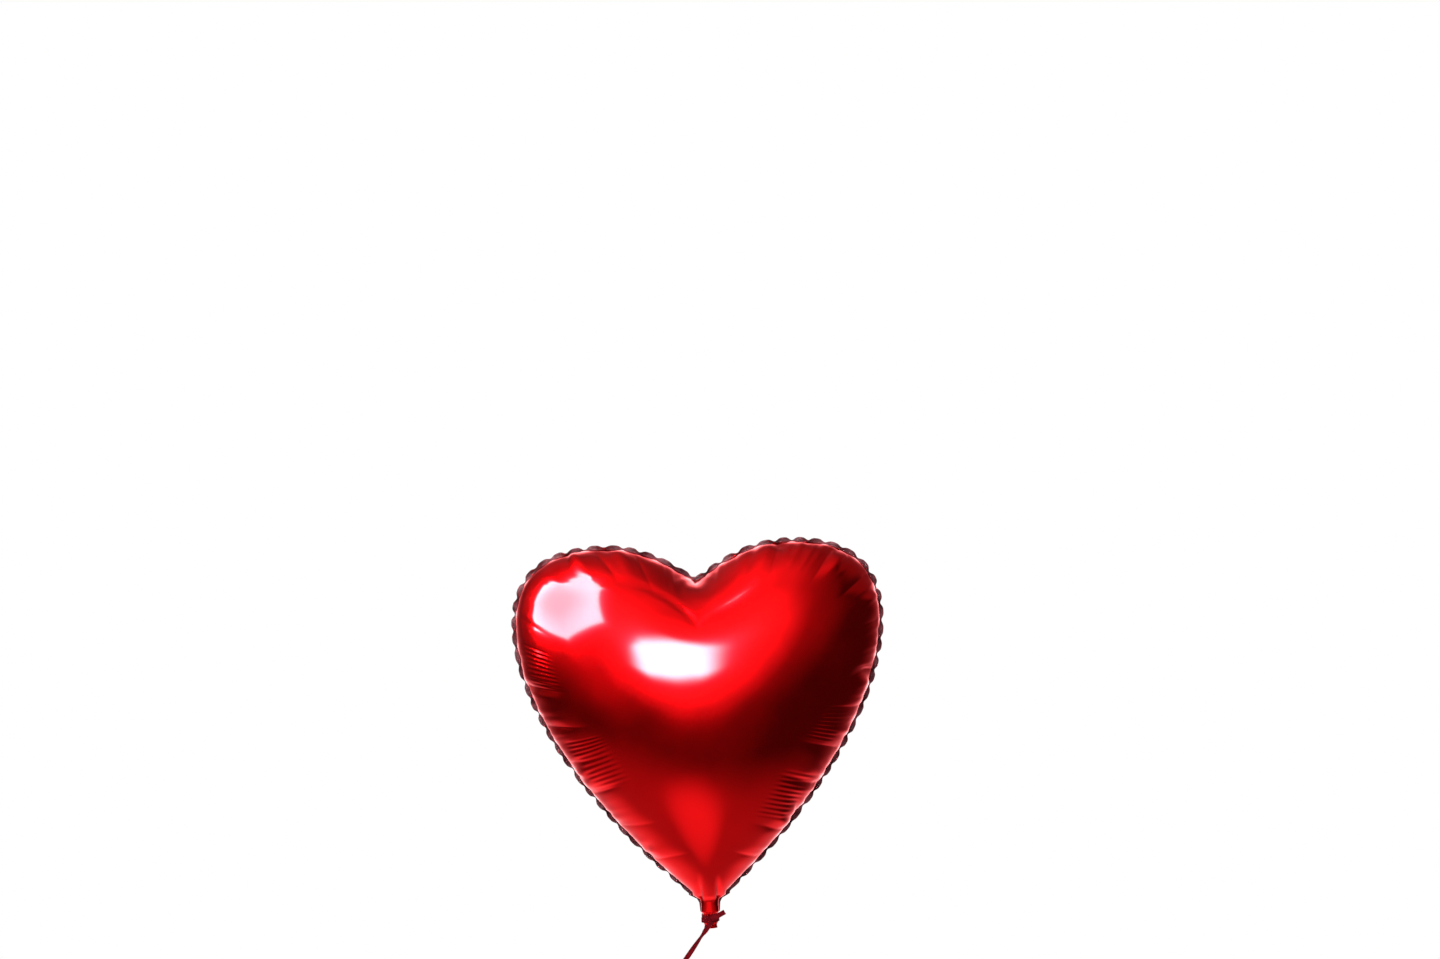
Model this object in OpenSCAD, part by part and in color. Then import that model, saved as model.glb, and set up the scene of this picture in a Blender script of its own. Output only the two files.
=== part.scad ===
// Heart-shaped foil balloon with a ribbon tied round its neck.
// Origin in the middle of the bare neck, Z up, the front panel faces -Y. Millimetres.

/* [Heart] */
// Width over the weld rim
heart_width = 380; // [350:1:410]
// Height of the lobe tops above the neck
lobe_height = 373; // [355:1:400]
// Height of the notch between the lobes above the neck
notch_height = 337; // [315:1:345]
// Height of the widest place above the neck
widest_height = 292; // [270:1:305]
// Sideways place of the lobe tops
lobe_offset = 95; // [85:1:105]
// Depth of the inflated body, front to back
heart_depth = 200; // [170:1:220]
// Height at which the body is deepest
crown_height = 212; // [195:1:235]
// Width of the weld rim
rim_width = 5; // [4:0.5:8]
// Thickness of one film
film = 0.3; // [0.2:0.05:0.4]

/* [Puckers] */
// Ripples of the weld rim, all round
ripples = 35; // [20:1:35]
// Rise of a rim ripple to either side
ripple_rise = 2.2; // [0.5:0.1:3]

/* [Neck] */
// Width of the inflated neck
neck_width = 18; // [17:0.5:22]
// Width of the gathered neck under the ribbon
gather_width = 15; // [12:0.5:17]
// Width of the tail's mouth
tail_width = 13; // [10:0.5:16]
// Length of the tail below the gather
tail_length = 6; // [4:0.5:10]

/* [Valve] */
// Width of the clear valve films inside the body
valve_width = 26; // [22:1:32]
// Height that the valve films reach above the neck
valve_reach = 70; // [50:1:90]
// Thickness of one valve film
valve_film = 0.2; // [0.15:0.05:0.3]
// Gap between the two valve films
valve_gap = 0.3; // [0.2:0.1:0.6]

/* [Ribbon] */
// Width of the ribbon
ribbon_width = 5; // [4:0.5:6]
// Thickness of the ribbon
ribbon_thick = 0.4; // [0.3:0.05:0.6]
// Slant of the taut ribbon from the upright
ribbon_slant = 37; // [0:1:45]
// Length of the free ribbon from knot to knot
ribbon_length = 76; // [60:1:120]
// Half turns of twist in the free ribbon
ribbon_twist = 1; // [0:1:3]
// Play between the neck loop and the gather
loop_play = 0.25; // [0.2:0.05:0.4]
// Radius of the rolled knots
knot_radius = 2.2; // [1.8:0.1:3]
// Length of the cut tag end
tag_length = 14; // [10:1:18]
// Slant of the tag end from the upright
tag_slant = 62; // [50:1:70]
// Inside radius of the loop at the ribbon's end
end_loop_radius = 9; // [7:0.5:14]

/* [Hidden] */
$fn = 96;
foil = "#c80010";
clear = "#e8ecf0";
dark_ribbon = "#7a0014";

// rim outline of the right half: notch, lobe top, widest place and tip, with their handles
notch = [0, notch_height];
top = [lobe_offset, lobe_height];
wide = [heart_width / 2, widest_height];
tip = [22, 14];
inner_steps = 12;
lobe_steps = 17;
flank_steps = 41;
heart_steps = inner_steps + lobe_steps + flank_steps;
inner_curve = [notch, notch + [16, 10], top - [48, 0], top];
lobe_curve = [top, top + [60, 0], wide + [0, 55], wide];
flank_curve = [wide, wide - [0, 95], tip + [83, 75], tip];

function curve_at(c, t) =
  c[0] * pow(1 - t, 3) + 3 * c[1] * t * pow(1 - t, 2) + 3 * c[2] * t * t * (1 - t) + c[3] * pow(t, 3);
function curve_run(c, t) =
  (c[1] - c[0]) * pow(1 - t, 2) + 2 * (c[2] - c[1]) * t * (1 - t) + (c[3] - c[2]) * t * t;
function unit(v) = v / norm(v);

function curve_of(i) =
  i < inner_steps ? inner_curve : i < inner_steps + lobe_steps ? lobe_curve : flank_curve;
function step_of(i) =
  i < inner_steps ? i / inner_steps
  : i < inner_steps + lobe_steps ? (i - inner_steps) / lobe_steps
  : (i - inner_steps - lobe_steps) / flank_steps;

// neck rows below the heart: height, half width at the seam, rim beyond it, half depth
neck_half = neck_width / 2;
gather_half = gather_width / 2;
gather_rim = 0.3;
gather_top = -7.5;
gather_low = gather_top - ribbon_width - 2.5;
tail_low = gather_low - tail_length;
neck_rows = [
  [9, neck_half + 0.8, 2.5, neck_half + 4.5],
  [4, neck_half, 1.4, neck_half],
  [gather_top + 2.5, neck_half, 1, neck_half],
  [gather_top, gather_half, gather_rim, gather_half],
  [gather_low, gather_half, gather_rim, gather_half],
  [gather_low - 0.4 * tail_length, tail_width / 2 - 0.6, gather_rim, tail_width / 2 - 0.8],
  [tail_low, tail_width / 2, gather_rim, tail_width / 2 - 0.5]
];
rows = heart_steps + len(neck_rows);

function rim_at(i) =
  i <= heart_steps ? curve_at(curve_of(i), step_of(i))
  : let (r = neck_rows[i - heart_steps - 1]) [r[1] + r[2], r[0]];
function outward(i) = let (d = unit(curve_run(curve_of(i), step_of(i)))) [-d[1], d[0]];
function seam_at(i) =
  i == 0 ? notch - [0, 1.2 * rim_width]
  : i <= heart_steps ? rim_at(i) - rim_width * outward(i)
  : let (r = neck_rows[i - heart_steps - 1]) [r[1], r[0]];

// each row starts on the middle line: at the crown for the upper rows, then lower and lower to the tip
root_lead = 1.42;
function root_height(i) =
  i <= heart_steps ? min(crown_height, tip[1] + root_lead * (seam_at(i)[1] - seam_at(heart_steps)[1]))
  : rim_at(i)[1];
first_low = [for (i = [0:rows]) if (root_height(i) < crown_height) i][0];
depth_curve = [
  [tip[1], neck_width + 2], [0.4 * crown_height, 0.39 * heart_depth], [0.71 * crown_height, heart_depth / 2],
  [crown_height, heart_depth / 2]
];
function depth_step(z, lo = 0, hi = 1, n = 20) =
  let (mid = (lo + hi) / 2)
  n == 0 ? mid : curve_at(depth_curve, mid)[0] < z ? depth_step(z, mid, hi, n - 1)
  : depth_step(z, lo, mid, n - 1);
function root_depth(i) =
  i > heart_steps ? neck_rows[i - heart_steps - 1][3]
  : root_height(i) >= crown_height ? heart_depth / 2
  : curve_at(depth_curve, depth_step(root_height(i)))[1];

rings = [0.22, 0.43, 0.61, 0.76, 0.87, 0.945, 0.983, 1];
ring_count = len(rings) + 1;
// the section of a row, middle line to seam: a true ellipse (fullness 2, roundness 0.5) in the neck, near it
// along the flanks, falling off sooner out into the lobes and towards the tip, and blunter at the notch
function inner_row(t) = t * inner_steps;
function flank_row(t) = inner_steps + lobe_steps + t * flank_steps;
function fullness(i) = i > heart_steps ? 2 : lookup(i, [
  [0, 2.1], [inner_row(0.33), 2.3], [inner_row(0.67), 1.9], [inner_row(1.17), 1.6], [flank_row(0), 1.8],
  [flank_row(0.46), 2.1], [flank_row(0.61), 1.8], [flank_row(0.8), 1.6], [flank_row(0.93), 1.8],
  [flank_row(1), 2.5]
]);
function roundness(i) = i > heart_steps ? 0.5 : lookup(i, [
  [0, 0.38], [inner_row(0.33), 0.58], [inner_row(0.67), 0.57], [inner_row(1.17), 0.5], [flank_row(1), 0.48]
]);
function swell(i, r) = r == 1 ? 0 : pow(1 - pow(r, fullness(i)), roundness(i));
ripple_from = 0.85;
function ripple(i, r) =
  i > heart_steps - 2 || r < ripple_from ? 0
  : ripple_rise * sin(180 * ripples * i / heart_steps) * pow((r - ripple_from) / (1 - ripple_from), 2);

// one point of a panel: row i, ring j, side 1 right or -1 left, face 1 front or -1 rear,
// skin 1 outside or 0 inside
function panel_point(i, j, side, face, skin) =
  let (root = [0, root_height(i)])
  let (seam = seam_at(i))
  let (rim = j == ring_count)
  let (r = rim ? 1 : rings[j - 1])
  let (edge = seam - unit(seam - root) * film * (1 - skin))
  let (p = rim ? rim_at(i) : root + (edge - root) * r)
  let (rise = skin * film + (root_depth(i) - film) * (rim ? 0 : swell(i, r)))
  [side * p[0], ripple(i, r) - face * rise, p[1]];
function root_point(i, face, skin) = [0, -face * (root_depth(i) - film * (1 - skin)), root_height(i)];

// rows run down the right side, then down the left; the notch row and the roots are shared
function column(side, i) = i == 0 ? 0 : side > 0 ? i : rows + i;
root_rows = rows - first_low + 1;
skin_size = root_rows + 1 + (2 * rows + 1) * ring_count;
function root_id(skin, i) = skin * skin_size + max(0, i - first_low + 1);
function ring_id(skin, side, i, j) =
  j == 0 ? root_id(skin, i) : skin * skin_size + root_rows + 1 + column(side, i) * ring_count + j - 1;

function skin_points(face, skin) = concat(
  [[0, -face * (heart_depth / 2 - film * (1 - skin)), crown_height]],
  [for (i = [first_low:rows]) root_point(i, face, skin)],
  [for (j = [1:ring_count]) panel_point(0, j, 1, face, skin)],
  [for (i = [1:rows]) for (j = [1:ring_count]) panel_point(i, j, 1, face, skin)],
  [for (i = [1:rows]) for (j = [1:ring_count]) panel_point(i, j, -1, face, skin)]
);
function turn(f, flip) = flip ? [f[2], f[1], f[0]] : f;
function skin_faces(skin, flip) = [
  for (side = [1, -1]) for (i = [0:rows - 1]) for (j = [0:ring_count - 1])
    let (a = ring_id(skin, side, i, j))
    let (b = ring_id(skin, side, i + 1, j))
    let (c = ring_id(skin, side, i + 1, j + 1))
    let (d = ring_id(skin, side, i, j + 1))
    let (back = (side > 0) == flip)
    each concat(a == b ? [] : [turn([a, b, c], back)], [turn([a, c, d], back)])
];
function strip(a, b, c, d, flip) = [turn([a, b, c], flip), turn([a, c, d], flip)];
function rim_faces(flip) = [
  for (side = [1, -1]) for (i = [0:rows - 1])
    each strip(
      ring_id(1, side, i, ring_count), ring_id(1, side, i + 1, ring_count),
      ring_id(0, side, i + 1, ring_count), ring_id(0, side, i, ring_count), (side > 0) == flip
    )
];
function mouth_faces(flip) = [
  for (side = [1, -1]) for (j = [0:ring_count - 1])
    each strip(
      ring_id(1, side, rows, j + 1), ring_id(1, side, rows, j),
      ring_id(0, side, rows, j), ring_id(0, side, rows, j + 1), (side > 0) == flip
    )
];
module panel(face) {
  polyhedron(
    points = concat(skin_points(face, 0), skin_points(face, 1)),
    faces = concat(
      skin_faces(1, face < 0), skin_faces(0, face > 0), rim_faces(face < 0), mouth_faces(face < 0)
    ),
    convexity = 6
  );
}
module front_panel() color(foil) panel(1);
module rear_panel() color(foil) panel(-1);

// flat valve films: wide inside the body, narrower in the neck, narrowest in the gather
module valve_outline() {
  neck_in = neck_half - film - 0.4;
  gather_in = gather_half - film - 0.4;
  tail_in = tail_width / 2 - film - 1.2;
  half = [
    [valve_width / 2, valve_reach], [valve_width / 2, 45], [neck_in, 22], [neck_in, -2],
    [gather_in, gather_top - 1], [gather_in, gather_low], [tail_in, gather_low - 0.4 * tail_length],
    [tail_in, tail_low + 1]
  ];
  polygon(concat(half, [for (k = [len(half) - 1:-1:0]) [-half[k][0], half[k][1]]]));
}
module valve_sheet(near) {
  translate([0, near + valve_film, 0]) rotate([90, 0, 0]) linear_extrude(valve_film) valve_outline();
}
module valve_film_front() color(clear) valve_sheet(-valve_gap / 2 - valve_film);
module valve_film_rear() color(clear) valve_sheet(valve_gap / 2);

// ribbon loop round the gather
neck_loop_in = gather_half + gather_rim + loop_play;
neck_loop_out = neck_loop_in + 2 * ribbon_thick;
neck_loop_mid = (gather_top + gather_low) / 2;
module neck_loop() color(dark_ribbon) {
  translate([0, 0, neck_loop_mid - ribbon_width / 2])
    rotate_extrude()
      translate([neck_loop_in, 0]) square([neck_loop_out - neck_loop_in, ribbon_width]);
}

// rolled knot in front of the loop: one roll for the ribbon and a smaller one for the tag end
knot_at = [-0.5, -neck_loop_out - knot_radius, neck_loop_mid - 3.75];
tag_roll = 1.5;
tag_at = [2.5, -neck_loop_out - tag_roll - 0.2, neck_loop_mid + 1.25];
ribbon_way = [-sin(ribbon_slant), 0, -cos(ribbon_slant)];
ribbon_across = [cos(ribbon_slant), 0, -sin(ribbon_slant)];
tag_way = [sin(tag_slant), 0, cos(tag_slant)];
roll_gap = 0.3;
module roll(at, slant, radius, long) {
  translate(at) rotate([0, 90 + slant, 0]) cylinder(r = radius, h = long, center = true);
}
module tie_knot() color(dark_ribbon) {
  roll(knot_at, ribbon_slant, knot_radius, ribbon_width + 1.6);
  roll(tag_at, tag_slant, tag_roll, ribbon_width + 1);
  translate([knot_at[0] - 1, -neck_loop_out - 0.4, knot_at[2] - 1])
    cube([tag_at[0] - knot_at[0] + 2, 0.4, tag_at[2] - knot_at[2] + 2]);
}

// flat ribbon swept along points, with the way across it and the way out of its face at each
function tape(points, across, out) = [
  for (k = [0:len(points) - 1])
    let (w = across[k] * ribbon_width / 2)
    let (t = out[k] * ribbon_thick / 2)
    each [points[k] + w + t, points[k] - w + t, points[k] - w - t, points[k] + w - t]
];
// both broad faces are split along the same diagonal, so that a twisted ribbon keeps its thickness
function tape_sides(n) = [
  for (k = [0:n - 2]) for (s = [0:3])
    let (a = 4 * k + s)
    let (b = 4 * k + (s + 1) % 4)
    each s == 2 ? [[a, b, a + 4], [b, b + 4, a + 4]] : [[a, b, b + 4], [a, b + 4, a + 4]]
];
module swept_tape(points, across, out) {
  n = len(points);
  ends = [[2, 1, 0], [3, 2, 0], [4 * n - 4, 4 * n - 3, 4 * n - 2], [4 * n - 4, 4 * n - 2, 4 * n - 1]];
  polyhedron(points = tape(points, across, out), faces = concat(tape_sides(n), ends), convexity = 4);
}

// a ribbon end lies round its roll on the front side, then runs off straight along its way
front = [0, -1, 0];
wrap_turn = 40;
wrap_steps = 4;
function wrap_point(at, way, radius, a) = at + radius * (cos(a) * front - sin(a) * way);
function wrap_points(at, way, radius) = [
  for (k = [0:wrap_steps]) wrap_point(at, way, radius, wrap_turn * (1 - k / wrap_steps))
];
function wrap_outs(way) = [
  for (k = [0:wrap_steps])
    let (a = wrap_turn * (1 - k / wrap_steps))
    cos(a) * front - sin(a) * way
];

ribbon_lay = knot_radius + roll_gap + ribbon_thick / 2;
ribbon_steps = 16;
ribbon_start = knot_at + ribbon_lay * front;
ribbon_points = concat(
  wrap_points(knot_at, ribbon_way, ribbon_lay),
  [for (k = [1:ribbon_steps]) ribbon_start + ribbon_way * ribbon_length * k / ribbon_steps]
);
function twist_at(k) = 180 * ribbon_twist * k / ribbon_steps;
ribbon_acrosses = concat(
  [for (k = [0:wrap_steps]) ribbon_across],
  [for (k = [1:ribbon_steps]) cos(twist_at(k)) * ribbon_across + sin(twist_at(k)) * front]
);
ribbon_outs = concat(
  wrap_outs(ribbon_way),
  [for (k = [1:ribbon_steps]) cos(twist_at(k)) * front - sin(twist_at(k)) * ribbon_across]
);
module ribbon() color(dark_ribbon) swept_tape(ribbon_points, ribbon_acrosses, ribbon_outs);

tag_across = [cos(tag_slant), 0, -sin(tag_slant)];
tag_lay = tag_roll + roll_gap + ribbon_thick / 2;
tag_start = tag_at + tag_lay * front;
tag_steps = 4;
tag_points = concat(
  wrap_points(tag_at, tag_way, tag_lay),
  [for (k = [1:tag_steps]) tag_start + tag_way * tag_length * k / tag_steps]
);
tag_count = len(tag_points);
module tag_end() color(dark_ribbon) {
  swept_tape(
    tag_points,
    [for (k = [1:tag_count]) tag_across],
    concat(wrap_outs(tag_way), [for (k = [1:tag_steps]) front])
  );
}

// the ribbon's lower end: a rolled knot and the loop below it
loop_knot_at = ribbon_start + ribbon_way * (ribbon_length + knot_radius);
end_loop_out = end_loop_radius + 2 * ribbon_thick;
end_loop_at = loop_knot_at + ribbon_way * (knot_radius + end_loop_out);
module loop_knot() color(dark_ribbon) roll(loop_knot_at, ribbon_slant, knot_radius, ribbon_width + 1);
module end_loop() color(dark_ribbon) {
  translate(end_loop_at) rotate([0, 90 + ribbon_slant, 0]) translate([0, 0, -ribbon_width / 2])
    rotate_extrude()
      translate([end_loop_radius, 0]) square([2 * ribbon_thick, ribbon_width]);
}

front_panel();
rear_panel();
valve_film_front();
valve_film_rear();
neck_loop();
tie_knot();
tag_end();
ribbon();
loop_knot();
end_loop();
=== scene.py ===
import math
import time

import bmesh
import bpy
import numpy as np
from mathutils import Matrix, Vector
from mathutils.bvhtree import BVHTree
from mathutils.geometry import delaunay_2d_cdt


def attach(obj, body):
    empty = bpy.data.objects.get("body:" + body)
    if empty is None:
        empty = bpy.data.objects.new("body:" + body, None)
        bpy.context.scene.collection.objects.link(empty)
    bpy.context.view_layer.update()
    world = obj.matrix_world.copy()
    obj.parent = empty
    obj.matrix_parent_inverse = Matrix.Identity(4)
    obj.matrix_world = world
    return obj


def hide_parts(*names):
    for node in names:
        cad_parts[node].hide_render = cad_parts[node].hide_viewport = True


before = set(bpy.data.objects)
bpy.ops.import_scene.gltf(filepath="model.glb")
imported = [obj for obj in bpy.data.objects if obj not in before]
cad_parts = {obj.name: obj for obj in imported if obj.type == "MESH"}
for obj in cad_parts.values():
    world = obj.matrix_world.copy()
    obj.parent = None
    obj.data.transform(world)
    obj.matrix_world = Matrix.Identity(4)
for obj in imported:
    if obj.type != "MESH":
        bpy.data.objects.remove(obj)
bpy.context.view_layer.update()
scene = bpy.context.scene
scene.view_settings.view_transform = "Standard"

front = np.array((0, -1, 0.0))
mm = 0.001
mergeGap = 1e-7
tiny = 1e-12


def hexColour(code):
    parts = [int(code[k:k + 2], 16) / 255 for k in (1, 3, 5)]
    return [c / 12.92 if c <= 0.04045 else ((c + 0.055) / 1.055) ** 2.4 for c in parts] + [1.0]


def setInputs(tree, node, inputs):
    for name, value in inputs.items():
        if isinstance(value, bpy.types.NodeSocket):
            tree.links.new(value, node.inputs[name])
        else:
            node.inputs[name].default_value = value


def addNode(tree, kind, inputs=None, **settings):
    node = tree.nodes.new(kind)
    for name, value in settings.items():
        setattr(node, name, value)
    setInputs(tree, node, inputs or {})
    return node


def shade(tree, kind, output, inputs=None, **settings):
    return addNode(tree, "ShaderNode" + kind, inputs, **settings).outputs[output]


def geometry(tree, kind, output, inputs=None, **settings):
    return addNode(tree, "GeometryNode" + kind, inputs, **settings).outputs[output]


def calc(tree, operation, *values):
    return shade(tree, "Math", 0, dict(enumerate(values)), operation=operation)


def remap(tree, value, before, after, kind="LINEAR"):
    ends = {"From Min": before[0], "From Max": before[1], "To Min": after[0], "To Max": after[1]}
    return shade(tree, "MapRange", "Result", {"Value": value, **ends}, interpolation_type=kind)


def noise(tree, place, scale, detail):
    return shade(tree, "TexNoise", "Fac", {"Vector": place, "Scale": scale, "Detail": detail})


def colourRamp(tree, factor, low, high):
    # both ends are a place along the factor and a colour
    ramp = addNode(tree, "ShaderNodeValToRGB", {"Fac": factor})
    for k, (place, code) in enumerate((low, high)):
        ramp.color_ramp.elements[k].position = place
        ramp.color_ramp.elements[k].color = hexColour(code)
    return ramp.outputs["Color"]


def attributeValue(tree, name):
    return shade(tree, "Attribute", "Fac", attribute_name=name)


def objectPlace(tree):
    return shade(tree, "TexCoord", "Object")


def newMaterial(name):
    material = bpy.data.materials.new(name)
    material.use_nodes = True
    tree = material.node_tree
    return material, tree, tree.nodes["Principled BSDF"]


def linkObject(name, mesh):
    piece = bpy.data.objects.new(name, mesh)
    scene.collection.objects.link(piece)
    return piece


def mergeDoubles(mesh, outward):
    work = bmesh.new()
    work.from_mesh(mesh)
    bmesh.ops.remove_doubles(work, verts=work.verts, dist=mergeGap)
    if outward:
        bmesh.ops.recalc_face_normals(work, faces=work.faces)
    for f in work.faces:
        f.smooth = True
    work.to_mesh(mesh)
    work.free()


def setValues(mesh, name, values):
    mesh.attributes.new(name, "FLOAT", "POINT").data.foreach_set("value", np.array(values, np.float32))


def unit(v):
    return v / np.linalg.norm(v, axis=-1, keepdims=True)


def cross2(u, v):
    return u[:, 0] * v[:, 1] - u[:, 1] * v[:, 0]


def closedRun(points):
    return unit(np.roll(points, -1, 0) - np.roll(points, 1, 0))


def mirrored(rows):
    # the left half backwards, then the right one without its first row
    return np.concatenate([(rows * [-1, 1])[::-1], rows[1:]])


def gridQuads(columns, count):
    starts = [k for k in range((columns - 1) * count) if k % count < count - 1]
    return [(k, k + 1, k + count + 1, k + count) for k in starts]


def lengthAlong(points):
    return np.r_[0, np.cumsum(np.linalg.norm(np.diff(points, axis=0), axis=1))]


def smoothStep(x):
    x = np.clip(x, 0, 1)
    return x * x * (3 - 2 * x)


def rise(x, low, high):
    return smoothStep((x - low) / (high - low))


# camera: level, far off, rolled a little so that the neck and the notch land on their pixels
cameraView = {
    "image": (1440, 959),
    "lens": 70,
    "sensor": 36,
    "neckPixel": (710, 907),
    "notchPixel": (695.5, 576),
    "notchHeight": 0.337,
}


def placeCamera(v):
    neck, notch = np.array(v["neckPixel"], float), np.array(v["notchPixel"], float)
    span = notch - neck
    metresPerPixel = v["notchHeight"] / np.linalg.norm(span)
    side, up = -span / np.linalg.norm(span)
    right = Vector((up, 0, -side))
    upward = Vector((side, 0, up))
    away = v["lens"] / v["sensor"] * v["image"][0] * metresPerPixel
    offset = (np.array(v["image"]) / 2 - neck) * metresPerPixel
    place = right * offset[0] - upward * offset[1] + Vector((0, -away, 0))
    data = bpy.data.cameras.new("camera")
    data.lens, data.sensor_width = v["lens"], v["sensor"]
    camera = linkObject("camera", data)
    turn = Matrix((right, upward, Vector((0, -1, 0)))).transposed()
    camera.matrix_world = Matrix.Translation(place) @ turn.to_4x4()
    scene.camera = camera
    print("camera at", [round(c, 3) for c in place], "away", round(away, 3))


placeCamera(cameraView)


# ribbon: places and sizes follow the part's source, in metres
tether = {
    "width": 0.005,
    "thick": 0.0004,
    "cup": 0.0003,
    "slant": 37,
    "length": 0.076,
    "lay": 0.0027,
    "at": (-0.0005, -0.01105, -0.015),
    "wrapTurn": 40,
    "wrapSteps": 6,
    "steps": 36,
    "twist": [(0, 0), (0.1, 6), (0.17, 60), (0.22, 64), (0.5, 8), (0.8, -30), (1, -50)],
}
lowerKnot = {"radius": 0.0022, "size": 0.00085, "width": 0.0026, "thick": 0.0004}
handLoop = {"radius": 0.0094, "below": 0.0098, "pinch": 0.35, "pinchTurn": 0.55, "steps": 72}
tagEnd = {"at": (0.0025, -0.01055, -0.010), "lay": 0.0026, "slant": 62, "length": 0.014, "curl": 0.0012,
          "wrapSteps": 5, "steps": 12}
upperKnot = {"at": (0.0009, -0.0111, -0.0125), "way": (-0.35, 0, -0.94), "across": (0.94, 0, -0.35),
             "size": 0.001, "width": 0.0028, "thick": 0.0005}
neckTie = {"radius": 0.0083, "high": -0.0085, "low": -0.0124, "turns": 2, "turnSteps": 73, "step": 0.00025,
           "sway": 0.0003, "swayRate": 1.5, "width": 0.0044, "thick": 0.0003}
# shares of a knot's size, and how much its ribbon faces forward, outward and along
knotForm = {"steps": 96, "lobe": 1.7, "tall": 1.15, "lift": 0.85, "facing": (0.6, 0.55, 0.25)}
sectionPoints = 44


def polypropyleneRibbon():
    # extruded curling ribbon: satin, dark red, with fine lengthwise ribs that catch the light in streaks; the
    # streaks are painted sheen in the colour as well as a bump
    look = {"deep": "#56070f", "bright": "#86101b", "ribs": 4, "ribShare": 0.22, "mottle": 260.0}
    material, tree, shader = newMaterial("polypropyleneRibbon")
    across = calc(tree, "MULTIPLY", attributeValue(tree, "acrossRibbon"), 2 * math.pi * look["ribs"])
    wave = calc(tree, "SINE", across)
    mottle = noise(tree, objectPlace(tree), look["mottle"], 3.0)
    # painted sheen: the rib wave lightens and darkens the colour across the ribbon
    blend = calc(tree, "MULTIPLY_ADD", wave, look["ribShare"], mottle)
    # the ribs stand 0.02 mm high on the real ribbon; drawn a little deeper so that they show
    bump = shade(tree, "Bump", "Normal", {"Height": wave, "Strength": 0.25, "Distance": 0.06 * mm})
    setInputs(tree, shader, {
        "Base Color": colourRamp(tree, blend, (0.2, look["deep"]), (0.8, look["bright"])),
        "Roughness": remap(tree, mottle, (0.0, 1.0), (0.5, 0.64)),
        "Normal": bump,
        "IOR": 1.49,
        "Specular IOR Level": 0.03,
    })
    return material


ribbonLook = polypropyleneRibbon()


# a flat ribbon along a path: the path's points carry the way out of the ribbon's face
def ribbonTree():
    tree = bpy.data.node_groups.new("ribbonAlongPath", "GeometryNodeTree")
    sockets = {}
    for name, kind in (("Path", "Geometry"), ("Width", "Float"), ("Thickness", "Float"), ("Cup", "Float"),
                       ("Ribbon", "Material")):
        socket = tree.interface.new_socket(name, in_out="INPUT", socket_type="NodeSocket" + kind)
        sockets[name] = socket.identifier
    tree.interface.new_socket("Ribbon Mesh", in_out="OUTPUT", socket_type="NodeSocketGeometry")
    given = addNode(tree, "NodeGroupInput").outputs
    line = geometry(tree, "MeshToCurve", "Curve", {"Mesh": given["Path"]})
    out = geometry(tree, "InputNamedAttribute", "Attribute", {"Name": "faceOut"}, data_type="FLOAT_VECTOR")
    line = geometry(tree, "SetCurveNormal", "Curve", {"Curve": line, "Normal": out}, mode="FREE")
    section = geometry(tree, "CurvePrimitiveQuadrilateral", "Curve",
                       {"Width": given["Thickness"], "Height": given["Width"]})
    section = geometry(tree, "ResampleCurve", "Curve", {"Curve": section, "Count": sectionPoints})
    side = shade(tree, "SeparateXYZ", "Y", {"Vector": geometry(tree, "InputPosition", 0)})
    across = calc(tree, "DIVIDE", side, given["Width"])
    dip = calc(tree, "MULTIPLY", calc(tree, "MULTIPLY", across, across), given["Cup"])
    shift = shade(tree, "CombineXYZ", 0, {"X": dip})
    section = geometry(tree, "SetPosition", "Geometry", {"Geometry": section, "Offset": shift})
    section = geometry(tree, "StoreNamedAttribute", "Geometry",
                       {"Geometry": section, "Name": "acrossRibbon", "Value": across},
                       data_type="FLOAT", domain="POINT")
    mesh = geometry(tree, "CurveToMesh", "Mesh", {"Curve": line, "Profile Curve": section, "Fill Caps": True})
    mesh = geometry(tree, "SetShadeSmooth", "Geometry", {"Geometry": mesh, "Shade Smooth": True})
    mesh = geometry(tree, "RealizeInstances", "Geometry", {"Geometry": mesh})
    mesh = geometry(tree, "SetMaterial", "Geometry", {"Geometry": mesh, "Material": given["Ribbon"]})
    addNode(tree, "NodeGroupOutput", {"Ribbon Mesh": mesh})
    return tree, sockets


ribbonNodes, ribbonSockets = ribbonTree()


def ribbonPiece(name, points, outs, width, thick, cup=0.0, closed=False):
    points, outs = np.array(points), unit(np.array(outs))
    count = len(points)
    edges = [(k, k + 1) for k in range(count - 1)] + ([(count - 1, 0)] if closed else [])
    path = bpy.data.meshes.new(name + "Path")
    path.from_pydata(points.tolist(), edges, [])
    path.attributes.new("faceOut", "FLOAT_VECTOR", "POINT").data.foreach_set("vector", outs.ravel())
    host = linkObject(name + "Host", path)
    sweep = host.modifiers.new("sweep", "NODES")
    sweep.node_group = ribbonNodes
    for socket, value in (("Width", width), ("Thickness", thick), ("Cup", cup), ("Ribbon", ribbonLook)):
        sweep[ribbonSockets[socket]] = value
    mesh = bpy.data.meshes.new_from_object(host.evaluated_get(bpy.context.evaluated_depsgraph_get()))
    bpy.data.objects.remove(host)
    mergeDoubles(mesh, outward=True)
    piece = linkObject(name, mesh)
    print(name, len(mesh.polygons), "faces")
    return piece


def wrapped(t, way):
    # the ribbon lies round the front of its roll before it runs off along its way
    angles = np.radians(np.linspace(tether["wrapTurn"], 0, t["wrapSteps"] + 1))[:, None]
    outs = np.cos(angles) * front - np.sin(angles) * way
    run = np.linspace(0, 1, t["steps"] + 1)[1:, None]
    return np.array(t["at"]) + t["lay"] * outs, outs, np.array(t["at"]) + t["lay"] * front, run


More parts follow.
